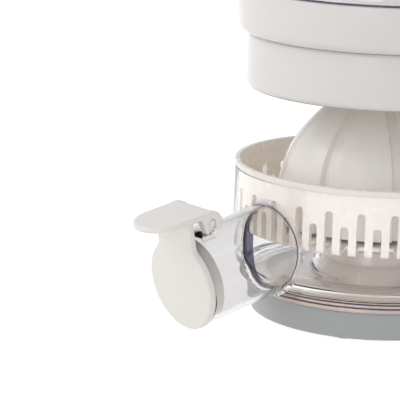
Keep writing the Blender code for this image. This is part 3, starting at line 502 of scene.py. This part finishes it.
def finely(points, pieces=4):
    """A smooth curve through the points, as a Catmull-Rom spline."""
    padded = [points[0], *points, points[-1]]
    fine = []
    for a, b, c, d in zip(padded, padded[1:], padded[2:], padded[3:]):
        for step in range(pieces):
            t = step / pieces
            fine.append(tuple(
                0.5 * (2 * q + (r - p) * t + (2 * p - 5 * q + 4 * r - s) * t * t
                       + (3 * q - p - 3 * r + s) * t ** 3)
                for p, q, r, s in zip(a, b, c, d)
            ))
    return [*fine, points[-1]]


def reamer():
    foot, boss_foot, boss, socket, socket_top = REAMER[-1][1], 46.5, 8.6, 6.2, 63.0
    outer = finely(REAMER)
    outer[0] = (0.0, REAMER[0][1])
    inside = [(r - 5.0, z - 3.0) for r, z in reversed(REAMER[5:-1])]
    profile = [
        *outer, (44.6, foot), *inside, (boss, 99.0), (boss, boss_foot), (socket, boss_foot),
        (socket, socket_top), (0, socket_top),
    ]
    outer_set = set(outer)

    def shaped(radius, height, angle):
        return petal(radius, height, angle) if (radius, height) in outer_set else radius

    cone = lathe("reamer_cone", profile, 480, radial=shaped)
    # The reamer's finish is the white plastic brightened and warmed: painted warm bounce light.
    show(cone, "white_plastic", "reamer", ["reamer"], finish=WHITE_PAINTED_WARM_LIGHT)


# ---------------------------------------------------------------- strainer

SLOTS, SLOT_HALF, LONG_TOP, SHORT_TOP, SLOT_PHASE = 56, 1.85, 60.4, 54.0, 2.9


def strainer():
    rim, top, low = radius_of("strainer"), top_of("strainer"), foot_of("strainer")
    lip, lip_foot, hole, thick = rim + 0.9, 68.4, 9.2, 1.6
    basket = lathe("basket", rounded([
        (lip, top, 0.6), (lip, lip_foot, 0.3), (64.9, lip_foot), (64.6, low, 2.6), (hole, low),
        (hole, low + thick), (62.2, low + thick, 1.4), (62.3, 66.0), (rim - 1.4, top, 0.4),
    ]), SLOTS * 4)
    slot_start, slot_reach = 51 * MM, 20 * MM
    bm = bmesh.new()
    for i in range(SLOTS):
        head = (LONG_TOP if i % 2 == 0 else SHORT_TOP) - SLOT_HALF
        outline = [(SLOT_HALF, low - 3), *arc((0, head), SLOT_HALF, 0, 180, 10), (-SLOT_HALF, low - 3)]
        turn = Matrix.Rotation(radians(-90 + SLOT_PHASE + 360 * i / SLOTS), 4, "Z")
        corners = [bm.verts.new(turn @ Vector((slot_start, x * MM, z * MM))) for x, z in outline]
        face = bm.faces.new(corners)
        grown = bmesh.ops.extrude_face_region(bm, geom=[face])
        moved = [v for v in grown["geom"] if isinstance(v, bmesh.types.BMVert)]
        bmesh.ops.translate(bm, vec=turn @ Vector((slot_reach, 0, 0)), verts=moved)
    combined(basket, "DIFFERENCE", finished("slots", bm))
    # The strainer's finish is the white plastic brightened and warmed: painted warm bounce light.
    show(basket, "white_plastic", "bowl", ["strainer"], finish=SIEVE_PAINTED_WARM_LIGHT)


# ---------------------------------------------------------------- bowl

def bowl():
    """The shell with its spout and hinge ear in one piece, then hollowed."""
    wall_radius, top, flange, foot, seat, seat_top = radius_of("bowl"), 68.2, 61.8, 14.6, 57.4, 18.0
    body = lathe("bowl_shell", rounded([
        (0, top), (65.8, top, 0.2), (wall_radius, 30.0, 8.0), (64.4, 23.4, 3.0), (61.0, 19.9, 0.4),
        (flange, 19.2, 0.3), (flange, 17.0, 0.3), (60.2, foot, 0.3), (seat, foot), (seat, seat_top, 0.4),
        (0, seat_top),
    ]))
    fillet = 1.5
    steps = [SPOUT_START + (SPOUT_END - SPOUT_START) * i / SPOUT_STEPS for i in range(SPOUT_STEPS + 1)]
    side = [(SPOUT_OUTER, z) for z in reversed(steps)]
    tube = lathe("spout", [(0, SPOUT_END), *side, (0, SPOUT_START)], 96, SPOUT)
    for vertex in tube.data.vertices:
        gap = hypot(vertex.co.x, vertex.co.y) / MM - wall_radius
        if not -1.0 < gap < fillet:
            continue
        local = SPOUT.inverted() @ vertex.co
        reach = hypot(local.x, local.y)
        if reach > 1e-6:
            flare = fillet - sqrt(max(0.0, fillet**2 - (fillet - max(gap, 0.0)) ** 2))
            scale = 1 + flare * MM / reach
            vertex.co = SPOUT @ Vector((local.x * scale, local.y * scale, local.z))
    ear_round, ear_foot = 2.5, 18.0
    ear = plate("ear", [
        (PIN_ALONG + 3.4, ear_foot), (PIN_ALONG + ear_round, PIN_UP),
        *arc((PIN_ALONG, PIN_UP), ear_round, 0, 180)[1:-1],
        (PIN_ALONG - ear_round, PIN_UP), (PIN_ALONG - 4.4, ear_foot),
    ], -EAR_HALF, EAR_HALF, SIDE, 0.3, 2)
    room, floor_at, hub, hub_top, open_top = wall_radius - 0.9, 20.2, 7.6, 37.4, 80
    cavity = lathe("cavity", rounded([
        (hub, open_top), (room, open_top), (room, 45), (wall_radius - 1.2, 26.5, 7.0), (58.0, floor_at, 1.0),
        (29.0, floor_at, 0.6), (28.0, 24.4, 1.4), (24.4, 26.4, 1.2), (23.8, 35.2, 2.2), (19.6, hub_top),
        (hub, hub_top),
    ]))
    bore = lathe("bore", [(0, 130), (SPOUT_INNER, 130), (SPOUT_INNER, 40), (0, 40)], 96, SPOUT)
    above = lathe("above", [(0, open_top), (8.1, open_top), (8.1, 44), (0, 44)], 48)
    hollow = lathe("hollow", rounded([
        (19.6, 34.6), (21.6, 32.0, 1.0), (22.4, 25.6, 1.0), (26.0, 21.6, 1.0), (26.2, 15), (8.2, 15),
        (8.2, 34.6),
    ]))
    shaft_way = lathe("shaft_way", [(0, 90), (5.4, 90), (5.4, 10), (0, 10)], 48)
    combined(body, "UNION", tube, ear)
    combined(body, "DIFFERENCE", cavity, bore, above, hollow, shaft_way)
    show(body, "clear_plastic", "bowl", ["bowl"], 25)
    body.data.materials.append(CLEAR_PAINTED_GREY)
    body.data.materials.append(FAINT)
    painted_grey, faint = 1, 2
    # Faces in front of the wall take the grey tint, which is painted shade on the spout tube; those of the
    # ear take the faint plastic.
    for face in body.data.polygons:
        if face.center.y < -(wall_radius + 1) * MM:
            on_ear = (SPOUT.inverted() @ face.center).y > (SPOUT_OUTER + 0.3) * MM
            face.material_index = faint if on_ear else painted_grey


def bowl_edge_shades():
    """Painted shade: thin dark rings of tinted clear plastic stand for the dark line that the clear wall
    shows where it is seen edge on, round the spout's mouth and along the flange. The mouth's ring follows
    the wall, and is deepest on its -X side."""
    wall_radius, sunk, thin, deepest = radius_of("bowl"), 0.4, 0.12, 4.4
    inner, outer = SPOUT_INNER - 0.5, SPOUT_INNER - 0.08
    mouth = lathe("mouth_edge_shade", [(inner, 1), (outer, 1), (outer, 0), (inner, 0)], 96)
    for vertex in mouth.data.vertices:
        x, y = vertex.co.x / MM, vertex.co.y / MM
        side = 0.5 - 0.5 * x / hypot(x, y)
        wall = sqrt(wall_radius**2 - x * x)
        along = (wall - y * sin(SPOUT_DROOP)) / cos(SPOUT_DROOP) - sunk
        depth = thin + deepest * side**2
        vertex.co.z = (along - depth if vertex.co.z < 0.5 * MM else along) * MM
        vertex.co = SPOUT @ vertex.co
    show(mouth, "clear_plastic", "bowl", [], finish=EDGE_SHADE)
    inner, outer, half = 61.85, 62.15, 0.35
    for name, height in (("flange_edge_shade_low", 17.2), ("flange_edge_shade_high", 19.0)):
        line = lathe(name, [
            (outer, height + half), (outer, height - half), (inner, height - half), (inner, height + half),
        ])
        show(line, "clear_plastic", "bowl", [], finish=EDGE_SHADE)


# ---------------------------------------------------------------- spout flap

def flap():
    """Disc, neck, tab and cheeks, melted into one skin."""
    radius, front, thick = 20.8, 116.6, 3.4
    disc = lathe("disc", rounded([
        (0, front), (radius, front, 0.9), (radius, front - thick, 0.5), (0, front - thick),
    ]), 96, SPOUT)
    half, top, bend = 11.8, PIN_UP + 4.2, 5.0
    corner = sqrt(radius**2 - half**2)
    bend_up, sunk = corner + 2.2, corner - 5
    neck = plate("neck", [
        (half, top), (half, corner + 2.6), *arc((half + bend, bend_up), bend, 180, 232, 6),
        (half + 1.0, sunk), (-half - 1.0, sunk),
        *arc((-half - bend, bend_up), bend, -52, 0, 6), (-half, corner + 2.6), (-half, top),
    ], front - thick + 0.1, front - 0.1, SPOUT, 0.6)
    skin = melted(merged("flap", [disc, neck, tab(), *cheeks()]), 0.32, 7)
    show(skin, "cream_plastic", "spout_flap", ["spout_flap"], 60)


def tab():
    """The thumb tab, straight-sided with a round end."""
    half, thick, length, top, tilt = 13.0, 2.8, 29.6, PIN_UP + 5.5, radians(1.0)
    outline = [(half, 0), *arc((0, length - half), half, 0, 180, 32), (-half, 0)]
    turn = Matrix.Rotation(pi / 2 - tilt, 4, "X")
    place = SPOUT @ Matrix.Translation((0, top * MM, PIN_ALONG * MM)) @ turn
    return plate("tab", outline, 0, thick, place, 0.9, 4)


def cheeks():
    """Two C-shaped cheeks that clip over the pin from above, and the roll between them."""
    centre, curl, mouth = (PIN_ALONG, PIN_UP), 5.5, PIN_RADIUS + 0.3
    cheek = [
        (PIN_ALONG + 2.0, PIN_UP + curl), *arc(centre, curl, 90, 205, 16),
        (PIN_ALONG - mouth - 1.0, PIN_UP - 3.9), (PIN_ALONG - mouth, PIN_UP - 3.2),
        *arc(centre, mouth, 180, 0, 12), (PIN_ALONG + mouth, PIN_UP - 3.4),
        (PIN_ALONG + mouth + 0.9, PIN_UP - 4.2), (PIN_ALONG + mouth + 2.0, PIN_UP - 3.6),
        (PIN_ALONG + mouth + 2.5, PIN_UP), (PIN_ALONG + mouth + 3.3, PIN_UP + curl - 1.5),
    ]
    roll = arc(centre, curl - 0.3, 65, 140, 10) + arc(centre, 3.3, 140, 65, 10)
    return [
        plate("cheek_left", cheek, -CHEEK_OUT, -CHEEK_IN, SIDE),
        plate("cheek_right", cheek, CHEEK_IN, CHEEK_OUT, SIDE),
        plate("roll", roll, -CHEEK_IN - 0.7, CHEEK_IN + 0.7, SIDE),
    ]


def mouth_liner():
    """A thin soft lining that the flap's ring closes on, seen through the spout's end."""
    inner, outer, end = SPOUT_INNER - 0.3, SPOUT_INNER - 0.04, SPOUT_END - 0.2
    start = end - 5.2
    liner = lathe("mouth_liner", [(inner, end), (outer, end), (outer, start), (inner, start)], 96, SPOUT)
    show(liner, "silicone", "bowl", [])


def pin():
    axis = SPOUT @ Vector((0, PIN_UP * MM, PIN_ALONG * MM))
    reach = radius_of("hinge_pin")
    place = Matrix.Translation(axis) @ Matrix.Rotation(pi / 2, 4, "Y")
    rod = lathe("pin", rounded([
        (0, reach), (PIN_RADIUS, reach, 0.4), (PIN_RADIUS, -reach, 0.4), (0, -reach),
    ]), 48, place)
    show(rod, "cream_plastic", "bowl", ["hinge_pin"])


def seal():
    back, tip = 113.0, 110.0
    ring = lathe("seal_ring", rounded([
        (14.6, back), (17.4, back, 0.2), (16.0, tip, 0.5), (14.8, tip, 0.5),
    ]), 96, SPOUT)
    show(ring, "silicone", "spout_flap", ["flap_seal"])


# ---------------------------------------------------------------- base and column

TAIL_HALF, TAIL_BACK = 28.0, 112.0
COLUMN_HALF, COLUMN_FRONT, COLUMN_BACK, COLUMN_SPLIT = 26.0, 69.5, 110.0, 100.0
MOTOR_Y, BUTTON_Y = 87.0, 90.0


def box_outline(half, front, back, corner):
    """A rectangle with rounded corners, seen from above."""
    ends = [(half, front), (half, back), (-half, back), (-half, front)]
    return rounded([(x, y, corner) for x, y in ends], 8)


def base_shell():
    low, high, radius = foot_of("base_shell"), top_of("base_shell"), radius_of("base_shell")
    inset = 2.5
    rim = [(0, high), (radius, high, 0.8), (radius - inset, low, 0.6), (0, low)]
    body = lathe("base_ring", rounded(rim))
    tail = plate("tail", box_outline(TAIL_HALF, 10.0, TAIL_BACK, 8.0), low, high, None, 0.5)
    for vertex in tail.data.vertices:
        drop = inset * (high * MM - vertex.co.z) / (high - low)
        vertex.co.x -= drop * (1 if vertex.co.x > 0 else -1) * abs(vertex.co.x) / (TAIL_HALF * MM)
        vertex.co.y -= drop * vertex.co.y / (TAIL_BACK * MM)
    combined(body, "UNION", tail)
    ceiling = 11.4
    combined(
        body, "DIFFERENCE",
        lathe("base_room", [(0, ceiling), (54.0, ceiling), (54.0, 0), (0, 0)]),
        plate("tail_room", box_outline(25.2, 10.0, 107.0, 5.0), 0, ceiling),
        lathe("recess", [(0, 20), (57.3, 20), (57.3, 12.7), (0, 12.7)]),
        lathe("opening", [(0, 18), (52.2, 18), (52.2, 5), (0, 5)]),
        lathe("pinion_hole", [(0, 20), (12, 20), (12, 8), (0, 8)], 48,
              Matrix.Translation((0, MOTOR_Y * MM, 0))),
    )
    show(body, "grey_plastic", "base", ["base_shell"])


def base_deck():
    high, hub, low, foot = 14.3, top_of("base_deck"), 13.0, foot_of("base_deck")
    wall_in, wall_out, wall_top, rim, bush, shaft, well = 49.5, 51.5, 17.6, 57.0, 9.7, 6.9, 11.5
    deck = lathe("deck", rounded([
        (bush, hub, 0.4), (18.6, hub, 1.2), (20.6, 31.4, 0.8), (21.4, 25.2, 1.0), (25.0, 21.0, 1.0),
        (25.3, high), (wall_in, high), (wall_in, wall_top, 0.3), (wall_out, wall_top, 0.3), (wall_out, high),
        (rim, high, 0.3), (rim, low), (23.5, low), (23.5, 20.2), (19.6, 24.6), (18.8, 30.8), (17.6, 31.8),
        (well, 31.8), (well, foot), (shaft, foot), (shaft, 14.0), (bush, 14.0),
    ], 4))
    lug = [(50.0, -7.3), (53.5, -7.3), (53.5, 7.3), (50.0, 7.3)]
    lugs = []
    for angle in (30, 150, 270):
        turn = Matrix.Rotation(radians(angle), 4, "Z")
        lugs.append(plate(f"lug_{angle}", lug, 16.2, 17.4, turn))
    combined(deck, "UNION", *lugs)
    # The deck's finish is its cream plastic made more orange: painted warm shade under the strainer.
    show(deck, "cream_plastic", "base", ["base_deck"], finish=DECK_PAINTED_WARM_SHADE)


def feet():
    """Rubber pads. The outer ones have a stem that sits in the plate."""
    thick, stem_radius, stem_top = 1.2, 1.9, 3.0
    for node in ("foot_front_left", "foot_front_right", "foot_rear_left", "foot_rear_right", "foot_centre"):
        low, high = (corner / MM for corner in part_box(node))
        radius, middle = (high.x - low.x) / 2, (low + high) / 2
        place = Matrix.Translation((middle.x * MM, middle.y * MM, 0))
        stem = [(0, stem_top), (stem_radius, stem_top), (stem_radius, thick)] if high.z > 2 else [(0, thick)]
        profile = rounded([*stem, (radius, thick, 0.3), (radius - 0.4, 0, 0.4), (0, 0)], 3)
        foot = lathe(f"{node}_pad", profile, 48, place)
        show(foot, "rubber", "base", [node])


def column_shell(name, front_half):
    """One half of the column's box. The halves are parted by a narrow seam."""
    low, high, wall, seam = foot_of("column_front"), top_of("column_front"), 2.0, 0.3
    beyond, aside = 200, 40
    shell = plate(name, box_outline(COLUMN_HALF, COLUMN_FRONT, COLUMN_BACK, 6.0), low, high, None, 0.25, 2)
    inside = box_outline(COLUMN_HALF - wall, COLUMN_FRONT + wall, COLUMN_BACK - wall, 4.0)
    room = plate("room", inside, 0, beyond)
    near, far = (COLUMN_SPLIT, beyond) if front_half else (0, COLUMN_SPLIT + seam)
    rest = plate("rest", [(aside, near), (aside, far), (-aside, far), (-aside, near)], 0, beyond)
    return combined(shell, "DIFFERENCE", room, rest)


def across_y(name, outline, near, far):
    """A prism along Y whose outline is drawn as (x, height)."""
    turn = Matrix(((1, 0, 0, 0), (0, 0, 1, 0), (0, 1, 0, 0), (0, 0, 0, 1)))
    return plate(name, outline, near, far, turn)


def upright(half, low, high, corner):
    """A rectangle with rounded corners, drawn as (x, height)."""
    return rounded([(half, low, corner), (half, high, corner), (-half, high, corner), (-half, low, corner)])


def column():
    front = column_shell("column_shell_front", True)
    combined(front, "DIFFERENCE", across_y("slot", upright(9.5, 72.5, 151.0, 2.5), 60, 78))
    show(front, "white_plastic", "base", ["column_front"])
    rear = column_shell("column_shell_rear", False)
    vents, vent_low, vent_tall, vent_pitch, near, far = 5, 70, 2.4, 6, 105, 115
    cuts = []
    for i in range(vents):
        low = vent_low + vent_pitch * i
        cuts.append(across_y(f"vent_{i}", upright(12, low, low + vent_tall, 1.1), near, far))
    cuts += [across_y(f"screw_hole_{x}_{z}", arc((x, z), 1.7, 0, 345, 23), near, far)
             for x in (-17.5, 17.5) for z in (40.0, 160.5)]
    cuts.append(across_y("inlet", arc((14, 23), 4.6, 0, 352.5, 47), near, far))
    combined(rear, "DIFFERENCE", *cuts)
    show(rear, "white_plastic", "base", ["column_rear"])
    cap = plate("cap", box_outline(COLUMN_HALF, COLUMN_FRONT, COLUMN_BACK, 6.0),
                foot_of("column_cap"), top_of("column_cap"), None, 1.4, 5)
    hole = lathe("button_hole", [(0, 180), (7.5, 180), (7.5, 150), (0, 150)], 64,
                 Matrix.Translation((0, BUTTON_Y * MM, 0)))
    combined(cap, "DIFFERENCE", hole)
    show(cap, "white_plastic", "base", ["column_cap"])


def button():
    low, high, radius = foot_of("power_button"), top_of("power_button"), radius_of("power_button")
    place = Matrix.Translation((0, BUTTON_Y * MM, 0))
    key = lathe("button", rounded([
        (0, high - 0.5), (radius - 2.6, high - 0.35, 1.0), (radius - 1.6, high, 0.4), (radius, high, 0.7),
        (radius, low, 0.3), (0, low),
    ]), 96, place)
    slots = {part["node"]: part["material_slot"] for part in frame["record"]["subparts"]}
    show(key, slots["power_button"], "power_button", ["power_button"])


def press_cup():
    """Follows the reamer, one travel of the head higher and with room for peel."""
    room, wall, travel, flange = 3.4, 2.0, 59.0, 133.6
    inside = finely([(r + room, z + travel + room * 0.8) for r, z in REAMER if z > 72.0 and r > 1.0])
    outside = [(r + wall, z + wall * 0.8) for r, z in inside]
    top = REAMER[0][1] + travel + room
    profile = [(0, top + wall), *outside, (outside[-1][0] + 0.4, flange + wall), (62.2, flange + wall),
               (62.2, flange), (inside[-1][0] + 0.8, flange), *reversed(inside), (0, top)]
    show(lathe("cup", profile), "white_plastic", "press_head", ["press_cup"])


dress_frame()
camera()
studio()
floor()
lower_collar()
upper_collar()
clear_dome()
reamer()
strainer()
bowl()
bowl_edge_shades()
flap()
mouth_liner()
pin()
seal()
base_shell()
base_deck()
feet()
column()
button()
press_cup()
